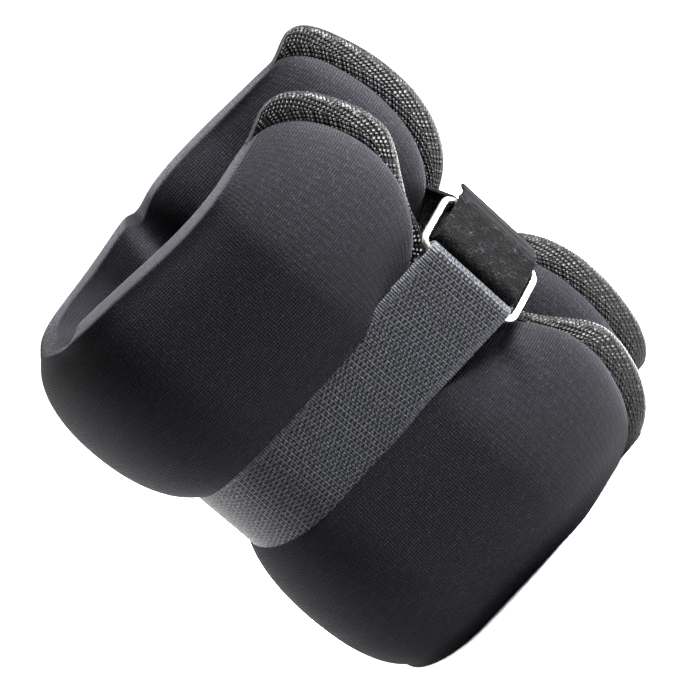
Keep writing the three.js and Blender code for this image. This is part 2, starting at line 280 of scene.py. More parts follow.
@dataclass(frozen=True)
class BindingTape:
    """Polyester binding woven in a coarse herringbone, with painted highlights on the tops of its raised
    floats.
    """

    gap: str = "010101"
    float_yarn: str = "020203"
    # painted highlight: the colour laid on the tops of the floats in patches
    glint: str = "1E1F22"
    thread: str = "3A3A3E"
    along: float = 1.9 * MM  # length of one float
    across: float = 1.25 * MM  # from row to row of floats
    zigzag: float = 6.5 * MM  # width of one band of slanting floats
    rib: float = 4.6 * MM  # along the tape, from one slanting rib to the next
    seam: float = 12.6 * MM  # from the fold to the stitches
    stitch: float = 1.5 * MM
    patch: float = 10 / 11 * MM  # size of a patch of floats that glints
    relief: float = 0.7 * MM

    def build(self) -> bpy.types.Material:
        """Returns the material."""
        diagonal = math.sqrt(0.5)
        nodes = (
            *THREAD_PLANE,
            ("folded", "PINGPONG", "plane:1", self.zigzag),
            ("sum", "ADD", "plane:0", "folded:0"),
            ("difference", "SUBTRACT", "plane:0", "folded:0"),
            ("run", "MULTIPLY", "sum:0", diagonal / self.along),
            ("row", "MULTIPLY", "difference:0", diagonal / self.across),
            ("row_number", "FLOOR", "row:0"),
            ("brick", "MULTIPLY_ADD", "row_number:0", 0.5, "run:0"),
            ("float_turns", "MULTIPLY", "brick:0", TURN),
            ("float_wave", "SINE", "float_turns:0"),
            ("row_turns", "MULTIPLY", "row:0", math.pi),
            ("row_wave", "SINE", "row_turns:0"),
            ("row_swell", "ABSOLUTE", "row_wave:0"),
            ("float_swell", "MapRange", SMOOTH, {0: "float_wave:0", 1: -0.9, 2: 0.5}),
            ("weave", "MULTIPLY", "row_swell:0", "float_swell:0"),
            ("rib_turns", "MULTIPLY", "difference:0", TURN / self.rib),
            ("rib_wave", "SINE", "rib_turns:0"),
            ("ribs", "MapRange", SMOOTH, {0: "rib_wave:0", 1: -0.9, 2: 0.4, 3: 0.30, 4: 1.0}),
            ("floats", "MULTIPLY", "weave:0", "ribs:0"),
            # noise that places the patches of painted highlight on the floats
            ("lint", "TexNoise", {}, {0: "coords:Object", "Scale": 1 / self.patch, "Detail": 2.0}),
            ("patches", "MapRange", SMOOTH, {0: "lint:0", 1: 0.50, 2: 0.66}),
            ("tops", "MapRange", SMOOTH, {0: "floats:0", 1: 0.55, 2: 0.95}),
            ("glints", "MULTIPLY", "patches:0", "tops:0"),
            (
                "yarn",
                "Mix",
                COLOUR_MIX,
                {0: "floats:0", 6: linear_rgba(self.gap), 7: linear_rgba(self.float_yarn)},
            ),
            # the woven colour with the painted highlight mixed in
            ("woven", "Mix", COLOUR_MIX, {0: "glints:0", 6: "yarn:2", 7: linear_rgba(self.glint)}),
            ("off_fold", "ABSOLUTE", "plane:1"),
            ("from_seam", "SUBTRACT", "off_fold:0", self.seam),
            ("beside_seam", "ABSOLUTE", "from_seam:0"),
            ("seam", "MapRange", SMOOTH, {0: "beside_seam:0", 1: 0.6 * MM, 2: 0.3 * MM}),
            ("stitch_turns", "MULTIPLY", "plane:0", TURN / self.stitch),
            ("stitches", "SINE", "stitch_turns:0"),
            ("stitched", "MapRange", SMOOTH, {0: "stitches:0", 1: -0.3, 2: 0.4}),
            ("threads", "MULTIPLY", "seam:0", "stitched:0"),
        )
        tone = ("threads:0", "woven:2", self.thread)
        shader = {"Roughness": 0.4, "IOR": 1.57, "Specular IOR Level": 0.04}
        return make_material(
            "polyester_binding_woven", nodes, tone, "floats:0", self.relief, shader
        )


@dataclass(frozen=True)
class BrushedLoop:
    """Nylon loop pile brushed to a fuzz: very dark, with a few lighter tangled filaments."""

    shade: str = "010101"
    lint: str = "141417"
    wander: float = 1.6 * MM  # of the filaments from side to side
    bend: float = 2 * MM  # length of filament between bends
    curl: float = 25 / 13 * MM  # across one loop of filament
    clump: float = 50 / 13 * MM
    pile: float = 10 / 11 * MM
    relief: float = 0.9 * MM

    def build(self) -> bpy.types.Material:
        """Returns the material."""
        nodes = (
            ("coords", "TexCoord", {}, {}),
            ("bend", "TexNoise", {}, {0: "coords:Object", "Scale": 1 / self.bend, "Detail": 2.0}),
            (
                "wander",
                "VectorMath",
                {"operation": "MULTIPLY_ADD"},
                {0: "bend:1", 1: [self.wander] * 3, 2: "coords:Object"},
            ),
            (
                "curls",
                "TexVoronoi",
                {"feature": "DISTANCE_TO_EDGE"},
                {0: "wander:0", "Scale": 1 / self.curl},
            ),
            ("strands", "MapRange", SMOOTH, {0: "curls:0", 1: 0.07, 2: 0.0}),
            ("clumps", "TexNoise", {}, {0: "coords:Object", "Scale": 1 / self.clump, "Detail": 4.0}),
            ("shown", "MapRange", SMOOTH, {0: "clumps:0", 1: 0.45, 2: 0.62}),
            ("filaments", "MULTIPLY", "strands:0", "shown:0"),
            ("pile", "TexNoise", {}, {0: "coords:Object", "Scale": 1 / self.pile, "Detail": 4.0}),
            ("height", "ADD", "clumps:0", "pile:0"),
            ("fuzz", "MULTIPLY_ADD", "filaments:0", 0.5, "height:0"),
            ("glow", "MapRange", SMOOTH, {0: "pile:0", 1: 0.5, 2: 0.8, 4: 0.12}),
            ("tone", "ADD", "filaments:0", "glow:0"),
        )
        shader = {"Roughness": 0.95, "IOR": 1.53, "Specular IOR Level": 0.02}
        tone = ("tone:0", self.shade, self.lint)
        return make_material("nylon_loop_tape_brushed", nodes, tone, "fuzz:0", self.relief, shader)


@dataclass(frozen=True)
class HookBacking:
    """Moulded nylon hook tape: a smooth, nearly black backing with a soft shine."""

    shade: str = "010101"
    lit: str = "030304"
    grain: float = 0.6 * MM
    relief: float = 0.05 * MM

    def build(self) -> bpy.types.Material:
        """Returns the material."""
        nodes = (
            ("coords", "TexCoord", {}, {}),
            ("grain", "TexNoise", {}, {0: "coords:Object", "Scale": 1 / self.grain}),
        )
        shader = {"Roughness": 0.8, "IOR": 1.53, "Specular IOR Level": 0.01}
        tone = ("grain:0", self.shade, self.lit)
        return make_material("nylon_hook_tape_moulded", nodes, tone, "grain:0", self.relief, shader)


@dataclass(frozen=True)
class NickelPlate:
    """Steel wire, bent and nickel plated: bright and slightly warm, with faint draw marks, its colours
    held below real nickel as a painted dark reflection.
    """

    # both colours are darker than plated nickel: painted dark reflection in place of dark surroundings
    bright: str = "B9B7B2"
    dull: str = "96948F"
    marks: float = 1.5 * MM
    relief: float = 0.01 * MM

    def build(self) -> bpy.types.Material:
        """Returns the material."""
        nodes = (
            ("coords", "TexCoord", {}, {}),
            ("marks", "TexNoise", {}, {0: "coords:Object", "Scale": 1 / self.marks, "Detail": 3.0}),
            # random patches where the duller of the two colours shows
            ("worn", "MapRange", SMOOTH, {0: "marks:0", 1: 0.55, 2: 0.75}),
            ("gloss", "MapRange", {}, {0: "marks:0", 3: 0.16, 4: 0.30}),
        )
        shader = {"Metallic": 1.0, "Roughness": "gloss:0"}
        tone = ("worn:0", self.bright, self.dull)
        return make_material("steel_wire_nickel_plated", nodes, tone, "marks:0", self.relief, shader)


@dataclass(frozen=True)
class PouchLiner:
    """Woven polypropylene, heat sealed into pouches: dull, off-white and slightly uneven."""

    shade: str = "A7A496"
    light: str = "C7C4B8"
    weave: float = 1.6 * MM
    relief: float = 0.1 * MM

    def build(self) -> bpy.types.Material:
        """Returns the material."""
        nodes = (
            ("coords", "TexCoord", {}, {}),
            ("weave", "TexNoise", {}, {0: "coords:Object", "Scale": 1 / self.weave}),
        )
        shader = {"Roughness": 0.6, "IOR": 1.49}
        tone = ("weave:0", self.shade, self.light)
        return make_material("polypropylene_liner_woven", nodes, tone, "weave:0", self.relief, shader)


@dataclass(frozen=True)
class IronSand:
    """Washed iron sand: dark, dull grains about half a millimetre across."""

    shade: str = "2B2724"
    light: str = "5A534C"
    grain: float = 0.5 * MM
    relief: float = 0.3 * MM

    def build(self) -> bpy.types.Material:
        """Returns the material."""
        nodes = (
            ("coords", "TexCoord", {}, {}),
            ("grains", "TexNoise", {}, {0: "coords:Object", "Scale": 1 / self.grain}),
        )
        shader = {"Roughness": 0.9, "IOR": 1.55}
        tone = ("grains:0", self.shade, self.light)
        return make_material("iron_sand_washed", nodes, tone, "grains:0", self.relief, shader)


@dataclass(frozen=True)
class StudioPaper:
    """Seamless paper: white, matt and even."""

    low: str = "F4F4F4"
    high: str = "F8F8F8"
    cloud: float = 1000 / 3 * MM

    def build(self) -> bpy.types.Material:
        """Returns the material."""
        nodes = (
            ("coords", "TexCoord", {}, {}),
            ("clouds", "TexNoise", {}, {0: "coords:Object", "Scale": 1 / self.cloud}),
        )
        shader = {"Roughness": 0.95, "Specular IOR Level": 0.1}
        tone = ("clouds:0", self.low, self.high)
        return make_material("studio_paper_white", nodes, tone, "clouds:0", 0.0, shader)


class Finish(Enum):
    """The cuff's finishes, each with the record's slot that it belongs to."""

    NEOPRENE = ("neoprene", NeopreneJersey())
    WEBBING = ("webbing", Webbing())
    TAPE = ("binding_tape", BindingTape())
    LOOP = ("loop_tape", BrushedLoop())
    HOOK = ("hook_tape", HookBacking())
    NICKEL = ("ring_steel", NickelPlate())
    LINER = ("pouch_liner", PouchLiner())
    SAND = ("sand", IronSand())

    @property
    def slot(self) -> str:
        """The record's material slot."""
        return self.value[0]

    def material(self) -> bpy.types.Material:
        """Returns this finish's material, which is built once."""
        if self.name not in MATERIALS:
            MATERIALS[self.name] = self.value[1].build()
        return MATERIALS[self.name]


MATERIALS: dict[str, bpy.types.Material] = {}


# ---- Meshes ----


def lengths_along(path: np.ndarray) -> np.ndarray:
    """Returns each point's length along a path from its first point."""
    return np.concatenate([[0.0], np.cumsum(np.linalg.norm(np.diff(path, axis=0), axis=1))])


def tube_mesh(
    name: str,
    points: np.ndarray,
    along: Sequence[float],
    across: Sequence[float],
    caps: bool = True,
) -> bpy.types.Object:
    """Makes a mesh of quads over rings of points, with its cloth laid out in metres.

    Args:
        name: The object's name.
        points: Rings by points by 3; each ring's last point joins its first.
        along: Each ring's length along the cloth.
        across: Each point's length across the cloth, and once more where the ring closes.
        caps: True to close the first and last rings.

    Returns:
        The new object, shaded smooth.
    """
    rows, columns = points.shape[:2]
    uv = np.zeros((rows, columns + 1, 2))
    uv[:, :, 0] = np.array(along)[:, None]
    uv[:, :, 1] = np.array(across)[None, :]
    faces = []
    corners = []
    for i in range(rows - 1):
        for j in range(columns):
            k = (j + 1) % columns
            faces.append((i * columns + j, i * columns + k, (i + 1) * columns + k, (i + 1) * columns + j))
            corners += [uv[i, j], uv[i, j + 1], uv[i + 1, j + 1], uv[i + 1, j]]
    if caps:
        for row, flip in ((0, True), (rows - 1, False)):
            for j in range(columns // 2 - 1):
                facing = columns - 1 - j
                quad = [(row, j), (row, j + 1), (row, facing - 1), (row, facing)]
                quad = quad if flip else quad[::-1]
                faces.append(tuple(r * columns + c for r, c in quad))
                corners += [uv[r, c] for r, c in quad]
    mesh = bpy.data.meshes.new(name)
    mesh.from_pydata(points.reshape(-1, 3).tolist(), [], faces)
    layer = mesh.uv_layers.new(name="cloth")
    layer.data.foreach_set("uv", np.array(corners, np.float32).ravel())
    mesh.shade_smooth()
    mesh.validate()
    made = add_object(name, mesh)
    turn_outwards(made)
    return made


def add_object(name: str, data: bpy.types.ID) -> bpy.types.Object:
    """Puts a mesh, light or camera into the scene as a new object."""
    made = bpy.data.objects.new(name, data)
    bpy.context.scene.collection.objects.link(made)
    return made


def turn_outwards(piece: bpy.types.Object) -> None:
    """Flips a piece's faces if they point inwards."""
    mesh = piece.data
    if sum(face.center.dot(face.normal) * face.area for face in mesh.polygons) < 0:
        mesh.flip_normals()


def apply_subdivision(piece: bpy.types.Object) -> None:
    """Smooths a piece with subdivision and keeps the result as its mesh."""
    piece.modifiers.new("smooth", "SUBSURF").levels = 1
    apply_modifiers(piece)


def apply_modifiers(piece: bpy.types.Object) -> None:
    """Keeps a piece's modified mesh as its own mesh."""
    graph = bpy.context.evaluated_depsgraph_get()
    made = bpy.data.meshes.new_from_object(piece.evaluated_get(graph), depsgraph=graph)
    old = piece.data
    piece.modifiers.clear()
    piece.data = made
    bpy.data.meshes.remove(old)


def smoothstep(value: float, low: float = 0.0, high: float = 1.0) -> float:
    """Returns an ease from 0 at low to 1 at high."""
    share = min(max((value - low) / (high - low), 0.0), 1.0)
    return share * share * (3 - 2 * share)


def mix(low: float, high: float, share: float) -> float:
    """Returns the value a share of the way from low to high."""
    return low + (high - low) * share


# ---- The sleeve's form ----


SWELL_PEAK = 0.385  # the most that a share squared times its circle's height comes to

@dataclass(frozen=True)
class SleeveForm:
    """Sizes of the filled sleeve and the surface that they give, in the cuff's frame."""

    length: float = 167 * MM
    depth: float = 113 * MM
    height: float = 182 * MM
    panel: float = 45 * MM
    bend: float = 32 * MM
    bend_radius: float = 30 * MM
    crease_x: float = -18 * MM
    bend_end_x: float = 10 * MM  # where the back panel's opening bend is spread to
    waist: float = 22 * MM
    waist_bend: float = 10 * MM
    inner_waist_share: float = 0.8
    lobe_half_height: float = 40.5 * MM
    lobe_power: float = 2.15
    front_seam_x: float = 37 * MM
    back_seam_x: float = 48.4 * MM
    front_reach: float = 37.5 * MM  # half the height over which a lobe pushes its seam
    back_reach: float = 39.5 * MM
    front_push: float = 23 * MM
    back_push: float = 24.5 * MM
    back_upper_push: float = 28 * MM
    back_rim_share: float = 0.45  # of the back push that is left at a rim
    front_waist_loss: float = 0.6  # of the front push that is lost towards the strap
    loss_band: tuple[float, float] = (-0.1, 0.8)  # from a rim, -1, to the strap, 1
    taper: float = 25 * MM
    drift: float = 9 * MM
    flange: float = 9 * MM
    flange_half: float = 2.4 * MM
    rim_overhang: float = 1 * MM  # of a lobe over its seam, towards the rim
    front_overhang: float = 5 * MM  # the same towards the strap
    back_overhang: float = 11 * MM
    overhang_band: tuple[float, float] = (-0.7, 0.35)  # from a rim, -1, to the strap, 1
    sag: float = 4.0 * MM  # of the strap across the front
    sag_reach: float = 24 * MM
    sag_start: tuple[float, float] = (-5 * MM, 32 * MM)  # from the front seam
    upper_bend_swell: float = 4.0 * MM
    lower_bend_swell: float = -1.5 * MM

    @property
    def middle(self) -> float:
        """Height of the strap's middle."""
        return self.height / 2

    @property
    def middle_y(self) -> float:
        """Distance of each panel's middle surface from the cuff's middle."""
        return (self.depth - self.panel) / 2

    @property
    def bend_x(self) -> float:
        """Where the bend's corners start."""
        return (self.bend - self.length) / 2 + self.bend_radius

    @property
    def front_line(self) -> float:
        """Length of the front panel's straight middle surface."""
        return self.front_seam_x - self.bend_x

    @property
    def arc(self) -> float:
        """Length of one corner of the bend."""
        return self.bend_radius * math.pi / 2

    @property
    def side_line(self) -> float:
        """Length of the straight between the bend's corners."""
        return 2 * (self.middle_y - self.bend_radius)

    @property
    def back_start(self) -> float:
        """Length from the front seam to where the back panel starts."""
        return self.front_line + 2 * self.arc + self.side_line

    @property
    def crease_s(self) -> float:
        """Length from the front seam to the crease."""
        return self.back_start + self.crease_x - self.bend_x

    @property
    def end_s(self) -> float:
        """Length from the front seam to the back seam."""
        return self.back_start + self.back_seam_x - self.bend_x

    @property
    def bend_s(self) -> float:
        """Length from the front seam to the middle of the bend."""
        return self.front_line + self.arc + self.side_line / 2

    def lobe_centre(self, upper: bool) -> float:
        """Height of a lobe's middle."""
        return self.height - self.lobe_half_height if upper else self.lobe_half_height

    def plan(self, s: float) -> tuple[float, float, float, float]:
        """Returns the middle surface's x and y and its outward normal at a length s."""
        radius = self.bend_radius
        if s <= self.front_line:
            return self.front_seam_x - s, -self.middle_y, 0.0, -1.0
        if s <= self.front_line + self.arc:
            angle = -math.pi / 2 - (s - self.front_line) / radius
            centre_y = radius - self.middle_y
        elif s <= self.front_line + self.arc + self.side_line:
            along = s - self.front_line - self.arc
            return self.bend_x - radius, radius - self.middle_y + along, -1.0, 0.0
        elif s <= self.back_start:
            angle = math.pi / 2 + (self.back_start - s) / radius
            centre_y = self.middle_y - radius
        else:
            return self.bend_x + s - self.back_start, self.middle_y, 0.0, 1.0
        nx, ny = math.cos(angle), math.sin(angle)
        return self.bend_x + radius * nx, centre_y + radius * ny, nx, ny

    def taper_share(self, s: float) -> float:
        """Returns 1 at a seam, falling to 0 where the panel has its full thickness."""
        return min(max(1 - min(s, self.end_s - s) / self.taper, 0.0), 1.0)

    def bend_share(self, s: float) -> float:
        """Returns 1 in the middle of the bend, falling to 0 on the panels."""
        reach = self.arc + self.side_line / 2
        return 1 - smoothstep(abs(s - self.bend_s), 0, reach)

    def towards_waist(self, s: float, z: float) -> float:
        """Returns -1 at a rim, 0 at the middle of a lobe's push and 1 at the strap."""
        reach = self.front_reach if s < self.bend_s else self.back_reach
        from_rim = self.height - z if z > self.middle else z
        return min(max((from_rim - reach) / reach, -1.0), 1.0)

    def lobe_push(self, s: float, z: float) -> float:
        """Returns how far a full lobe reaches past its end seam's waist at a height."""
        share = self.towards_waist(s, z)
        front = s < self.bend_s
        kept = self.back_rim_share if share < 0 and not front else 0.0
        back = self.back_upper_push if z > self.middle else self.back_push
        whole = self.front_push if front else back
        return whole * (kept + (1 - kept) * math.sqrt(1 - share * share))

    def push(self, s: float, z: float) -> float:
        """Returns how far the lobes push the seam outwards at a height."""
        loss = self.front_waist_loss if s < self.bend_s else 0.0
        near_strap = smoothstep(self.towards_waist(s, z), *self.loss_band)
        return self.lobe_push(s, z) * (1 - loss * near_strap)

    def half(self, s: float, crown: float, outer: bool) -> float:
        """Returns the sleeve's half thickness.

        Args:
            s: Length from the front seam.
            crown: The lobe's fullness at the point, 1 at its middle and 0 at its rim.
            outer: True on the outside of the cuff.
        """
        bend = self.bend_share(s)
        lobe = mix(self.panel, self.bend, bend) / 2
        waist = mix(self.waist, self.waist_bend, bend) / 2
        full = max(lobe * crown, waist if outer else waist * self.inner_waist_share)
        ease = math.sqrt(1 - self.taper_share(s) ** 2)
        return mix(self.flange_half, full, ease)

    def overhang(self, s: float, crown: float, z: float) -> float:
        """Returns how far a full lobe hangs out over its end seam.

        Args:
            s: Length from the front seam.
            crown: The lobe's fullness at the point.
            z: The point's height.
        """
        share = self.taper_share(s)
        swell = math.sqrt(1 - share * share) * share * share / SWELL_PEAK
        over = self.front_overhang if s < self.bend_s else self.back_overhang
        near_strap = smoothstep(self.towards_waist(s, z), *self.overhang_band)
        past_seam = self.lobe_push(s, z) - self.push(s, z)
        return swell * crown * (past_seam + mix(self.rim_overhang, over, near_strap))

    def rim_shift(self, s: float, z: float) -> float:
        """Returns how far the upper rim sags or rises at a length s."""
        knots = (
            (-self.flange, -3.6 * MM),
            (0.5 * self.front_line, -7.0 * MM),
            (self.front_line + 0.3 * self.arc, -3.4 * MM),
            (self.bend_s, -3.2 * MM),
            (self.back_start - 10 * MM, -3.0 * MM),
            (self.crease_s, -0.5 * MM),
            (self.crease_s + 26 * MM, 1.0 * MM),
            (self.end_s, 0.0),
        )
        over = max(z - self.lobe_centre(True), 0.0) / self.lobe_half_height
        for (start, low), (end, high) in zip(knots, knots[1:]):
            if s <= end:
                return over * mix(low, high, smoothstep(s, start, end))
        return 0.0

    def waist_sag(self, s: float) -> float:
        """Returns how far the waist and its strap hang below the middle at a length s."""
        from_ring = smoothstep(s, *self.sag_start)
        return self.sag * (from_ring - smoothstep(s, self.front_line, self.bend_s))

    def point(self, s: float, n: float, z: float, extra: float = 0.0) -> Vector:
        """Returns the point at length s, height z and n outwards of the middle surface."""
        x, y, nx, ny = self.plan(min(max(s, 0.0), self.end_s))
        front = s < self.bend_s
        past = max(-s, 0.0) if front else max(s - self.end_s, 0.0)
        near_end = smoothstep(self.taper_share(s))
        offset = n - self.drift * near_end
        reach = past + near_end * self.push(s, z) + extra
        by_waist = math.exp(-(((z - self.middle) / self.sag_reach) ** 2))
        up = z + self.rim_shift(s, z) - by_waist * self.waist_sag(s)
        return Vector((x + reach + offset * nx, y + offset * ny, up))


FORM = SleeveForm()


@dataclass(frozen=True)
class Dent:
    """A place where the cloth is drawn in along a direction, narrower on one side."""

    centre: tuple[float, float, float]
    reach: tuple[float, float, float]
    pull: tuple[float, float, float]
    steep_side: float = 1.0  # the reach in x is divided by this on the -X side
    lean: float = 0.0  # slope of x against z

    def press(self, piece: bpy.types.Object) -> None:
        """Moves the piece's vertices round the centre."""
        count = len(piece.data.vertices)
        flat = np.zeros(count * 3)
        piece.data.vertices.foreach_get("co", flat)
        places = flat.reshape(-1, 3)
        away = places - np.array(self.centre)
        away[:, 0] -= self.lean * away[:, 2]
        scale = np.tile(np.array(self.reach), (count, 1))
        scale[:, 0] = np.where(away[:, 0] < 0, self.reach[0] / self.steep_side, self.reach[0])
        weight = np.exp(-np.sum((away / scale) ** 2, axis=1))
        places += weight[:, None] * np.array(self.pull)
        piece.data.vertices.foreach_set("co", places.ravel())
        piece.data.update()


STIFF_JERSEY = {
    "quality": 6,
    "mass": 0.25,
    "tension_stiffness": 25,
    "compression_stiffness": 25,
    "shear_stiffness": 12,
    "bending_stiffness": 0.8,
    "air_damping": 4,
}


@dataclass(frozen=True)
class Filling:
    """How the sand swells the sleeve: a short cloth run with the seams and the waist held."""

    pressure: float = 4.0
    frames: int = 16
    cap: float = 7 * MM
    pinned: float = 0.02  # a vertex held less than this is free

    def swell(self, piece: bpy.types.Object, held: Sequence[float]) -> None:
        """Runs the cloth and keeps its shape.

        Args:
            piece: The sleeve.
            held: How firmly each vertex is held, from 0 to 1.
        """
        group = piece.vertex_groups.new(name="held")
        for index, weight in enumerate(held):
            if weight > self.pinned:
                group.add([index], weight, "REPLACE")
        before = np.array([v.co for v in piece.data.vertices])
        cloth = piece.modifiers.new("filling", "CLOTH")
        settings = cloth.settings
        for name, value in STIFF_JERSEY.items():
            setattr(settings, name, value)
        settings.vertex_group_mass = "held"
        settings.use_pressure = True
        settings.uniform_pressure_force = self.pressure
        settings.effector_weights.gravity = 0
        cloth.point_cache.frame_start = 1
        cloth.point_cache.frame_end = self.frames
        for number in range(1, self.frames + 1):
            bpy.context.scene.frame_set(number)
        apply_modifiers(piece)
        bpy.context.scene.frame_set(1)
        piece.vertex_groups.clear()
        after = np.array([v.co for v in piece.data.vertices])
        moved = after - before
        length = np.linalg.norm(moved, axis=1)
        LOG.info("filling: moved %.1f mm on average, %.1f at most", length.mean() / MM, length.max() / MM)
        capped = self.cap * np.tanh(length / self.cap)
        moved *= (capped / np.maximum(length, 1e-9))[:, None]
        piece.data.vertices.foreach_set("co", (before + moved).ravel())
        piece.data.update()


@dataclass(frozen=True)
class Sleeve:
    """The neoprene sleeve: one surface from seam to seam, cut at the crease for the hinge."""

    form: SleeveForm
    lobe_steps: int = 18
    panel_steps: int = 64
    taper_steps: int = 12
    crease_inset: float = 26 * MM  # of the crease's middle from each rim
    waist_hold: tuple[float, float] = (0.45, 0.75)  # of the fall from the lobe's crown
    seam_hold: tuple[float, float] = (0.75, 1.0)  # of the taper to a seam
    floor_hold: float = 0.6
    floor_height: float = 2 * MM

    @property
    def dents(self) -> tuple[Dent, ...]:
        """The crease in each lobe and at the upper rim, then the bend's and the ring's puckers."""
        form = self.form
        inner_y = form.middle_y - form.panel / 2
        creases = [
            Dent(
                centre=(form.crease_x, inner_y, z),
                reach=(13 * MM, 16 * MM, 46 * MM),
                pull=(0.0, 8 * MM, 0.0),
                steep_side=3.2,
            )
            for z in (form.height - self.crease_inset, self.crease_inset)
        ]
        return (
            creases[0],
            Dent(
                centre=(form.crease_x + 1 * MM, inner_y + 16 * MM, form.height),
                reach=(7 * MM, 20 * MM, 12 * MM),
                pull=(0.0, 0.0, -3.5 * MM),
                steep_side=2.5,
            ),
            creases[1],
            Dent(
                centre=(-59 * MM, -20 * MM, form.height - 2 * MM),
                reach=(4 * MM, 10 * MM, 9 * MM),
                pull=(1.5 * MM, 2 * MM, -3.5 * MM),
                lean=0.5,
            ),
            Dent(
                centre=(40 * MM, -50 * MM, 65 * MM),
                reach=(2.2 * MM, 12 * MM, 7 * MM),
                pull=(0.0, 3.2 * MM, 0.0),
                lean=0.6,
            ),
            Dent(
                centre=(46 * MM, -48 * MM, 60 * MM),
                reach=(4 * MM, 12 * MM, 8 * MM),
                pull=(0.0, -1.8 * MM, 0.0),
                lean=0.6,
            ),
        )

    def stations(self) -> list[float]:
        """Returns the lengths of the sleeve's sections, closer together at its ends."""
        form = self.form
        ends = [-form.flange, -form.flange * 0.5, -form.flange * 0.1]
        steps = self.taper_steps
        ease = [form.taper * (i / steps) ** 1.7 for i in range(steps + 1)]
        inner = np.linspace(form.taper, form.end_s - form.taper, self.panel_steps)[1:-1].tolist()
        nearest = min(range(len(inner)), key=lambda i: abs(inner[i] - form.crease_s))
        inner[nearest] = form.crease_s
        back = [form.end_s - s for s in reversed(ends + ease)]
        return ends + ease + inner + back

    def section(self, s: float) -> list[tuple[Vector, float]]:
        """Returns one section's points, up the outside and down the inside.

        Args:
            s: Length from the front seam.

        Returns:
            Each point with how firmly the cloth is held there.
        """
        form = self.form
        power = 2 / form.lobe_power
        sides = []
        for outer in (True, False):
            side = []
            for upper in (False, True):
                for i in range(self.lobe_steps + 1):
                    angle = -math.pi / 2 + math.pi * i / self.lobe_steps
                    rise = math.copysign(abs(math.sin(angle)) ** power, math.sin(angle))
                    towards_waist = -rise if upper else rise
                    z = form.lobe_centre(upper) + form.lobe_half_height * rise
                    crown = max(math.cos(angle), 0.0) ** power
                    n = form.half(s, crown, outer)
                    if outer:
                        swell = form.upper_bend_swell if upper else form.lower_bend_swell
                        n += swell * form.bend_share(s) * crown
                    extra = form.overhang(s, crown, z) if outer else 0.0
                    place = form.point(s, n if outer else -n, z, extra)
                    waist = smoothstep(1 - crown, *self.waist_hold) if towards_waist > 0 else 0.0
                    seam = smoothstep(form.taper_share(s), *self.seam_hold)
                    floor = self.floor_hold if z < self.floor_height else 0.0
                    side.append((place, max(waist, seam, floor)))
            sides.append(side)
        return sides[0] + sides[1][::-1]

    def whole(self) -> bpy.types.Object:
        """Returns the filled sleeve in one piece."""
        stations = self.stations()
        sections = [self.section(s) for s in stations]
        points = np.array([[tuple(place) for place, _ in section] for section in sections])
        middle = len(stations) // 2
        around = lengths_along(np.vstack([points[middle], points[middle][:1]]))
        sleeve = tube_mesh("neoprene_sleeve", points, stations, around)
        Filling().swell(sleeve, [hold for section in sections for _, hold in section])
        apply_subdivision(sleeve)
        for dent in self.dents:
            dent.press(sleeve)
        return sleeve

    def build(self) -> None:
        """Makes the sleeve's two pieces and dresses them."""
        form = self.form
        front, back = split_by(self.whole(), lambda c: c.x > form.crease_x and c.y > 0)
        front.name = "neoprene_sleeve_front"
        back.name = "neoprene_sleeve_back"
        dress(front, Finish.NEOPRENE)
        dress(back, Finish.NEOPRENE)
        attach(front, "front")
        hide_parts("cover_front")
        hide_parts("cover_back")
        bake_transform(back)
        LOG.info("sleeve: %d faces", len(front.data.polygons) + len(back.data.polygons))


def split_by(
    piece: bpy.types.Object, chosen: Callable[[Vector], bool]
) -> tuple[bpy.types.Object, bpy.types.Object]:
    """Cuts a piece in two along its own edges and keeps its shading across the cut.

    Args:
        piece: The whole piece, which is removed.
        chosen: Says whether a face's centre belongs to the second part.

    Returns:
        The part that isn't chosen, and the part that is.
    """
    mesh = piece.data
    normals = [Vector(v.normal) for v in mesh.vertices]
    layer = mesh.uv_layers.active.data
    parts = []
    for wanted in (False, True):
        faces = [f for f in mesh.polygons if chosen(f.center) == wanted]
        used = sorted({i for f in faces for i in f.vertices})
        place = {old: new for new, old in enumerate(used)}
        made = bpy.data.meshes.new(piece.name + "_part")
        made.from_pydata(
            [mesh.vertices[i].co for i in used],
            [],
            [[place[i] for i in f.vertices] for f in faces],
        )
        uv = made.uv_layers.new(name="cloth").data
        flat = [layer[i].uv for f in faces for i in f.loop_indices]
        uv.foreach_set("uv", np.array(flat, np.float32).ravel())
        made.shade_smooth()
        made.normals_split_custom_set_from_vertices([normals[i] for i in used])
        parts.append(add_object(made.name, made))
    bpy.data.objects.remove(piece)
    return parts[0], parts[1]


def dress(piece: bpy.types.Object, finish: Finish) -> None:
    """Gives a piece its finish."""
    piece.data.materials.clear()
    piece.data.materials.append(finish.material())


# ---- Straps ----


@dataclass
class Route:
    """A plan route drawn by going ahead and turning; a positive turn is to the left."""

    x: float
    y: float
    heading: float
    stations: list[tuple[float, float, float, float]] = field(default_factory=list)

    def mark(self) -> "Route":
        """Adds a station here: its place and the normal on the route's right."""
        self.stations.append((self.x, self.y, math.sin(self.heading), -math.cos(self.heading)))
        return self

    def ahead(self, length: float, step: float = 3 * MM) -> "Route":
        """Goes straight ahead, marking stations about a step apart."""
        count = max(1, round(length / step))
        for _ in range(count):
            self.x += length / count * math.cos(self.heading)
            self.y += length / count * math.sin(self.heading)
            self.mark()
        return self

    def turn(self, radius: float, degrees: float, steps: int = 8) -> "Route":
        """Turns on an arc, marking a station at each step."""
        side = math.copysign(1.0, degrees)
        centre_x = self.x - side * radius * math.sin(self.heading)
        centre_y = self.y + side * radius * math.cos(self.heading)
        start = self.heading
        for i in range(1, steps + 1):
            self.heading = start + math.radians(degrees) * i / steps
            self.x = centre_x + side * radius * math.sin(self.heading)
            self.y = centre_y - side * radius * math.cos(self.heading)
            self.mark()
        return self


